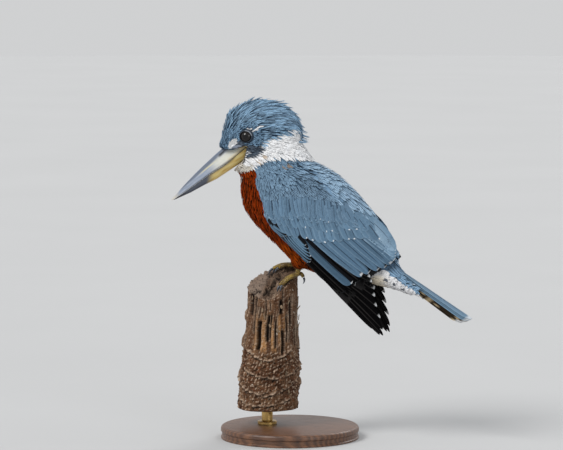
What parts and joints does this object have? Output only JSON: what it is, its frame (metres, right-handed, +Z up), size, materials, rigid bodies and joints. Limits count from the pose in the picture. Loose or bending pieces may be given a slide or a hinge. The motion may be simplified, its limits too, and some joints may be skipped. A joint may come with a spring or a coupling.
{
  "type": "ringed kingfisher model",
  "caption": "Life-size still model of an adult male ringed kingfisher, perched on a cut length of broken stem on a round display stand.",
  "frame": {"origin": "middle of the underside of the round display base", "axes": "the bird faces -X, its left side is -Y, and +Z is up"},
  "size_m": [0.2969, 0.136, 0.3328],
  "materials": {
    "slate_plumage": "soft blue-grey vane feathers",
    "white_plumage": "soft white contour feathers",
    "rufous_plumage": "soft chestnut contour feathers",
    "black_plumage": "firm black flight feathers with pale shafts",
    "bill_grey": "satin horn",
    "bill_yellow": "satin horn",
    "eye": "wet gloss",
    "foot_skin": "scaled skin",
    "claw_horn": "satin horn",
    "dead_stem": "weathered dead stem",
    "stand_wood": "satin oiled walnut",
    "stand_brass": "brushed brass"
  },
  "bodies": {
    "root": {"head": "slate_plumage", "rump": "slate_plumage", "wing_left": "slate_plumage", "wing_right": "slate_plumage", "tail": "slate_plumage", "neck": "white_plumage", "trunk": "rufous_plumage", "thigh_left": "rufous_plumage", "thigh_right": "rufous_plumage", "wing_tip_left": "black_plumage", "wing_tip_right": "black_plumage", "bill_upper": "bill_grey", "bill_lower": "bill_yellow", "eye_left": "eye", "eye_right": "eye", "foot_left": "foot_skin", "foot_right": "foot_skin", "claw_outer_left": "claw_horn", "claw_middle_left": "claw_horn", "claw_inner_left": "claw_horn", "claw_hind_left": "claw_horn", "claw_outer_right": "claw_horn", "claw_middle_right": "claw_horn", "claw_inner_right": "claw_horn", "claw_hind_right": "claw_horn", "perch_stem": "dead_stem", "stand_base": "stand_wood", "stand_rod": "stand_brass"}
  },
  "joints": []
}
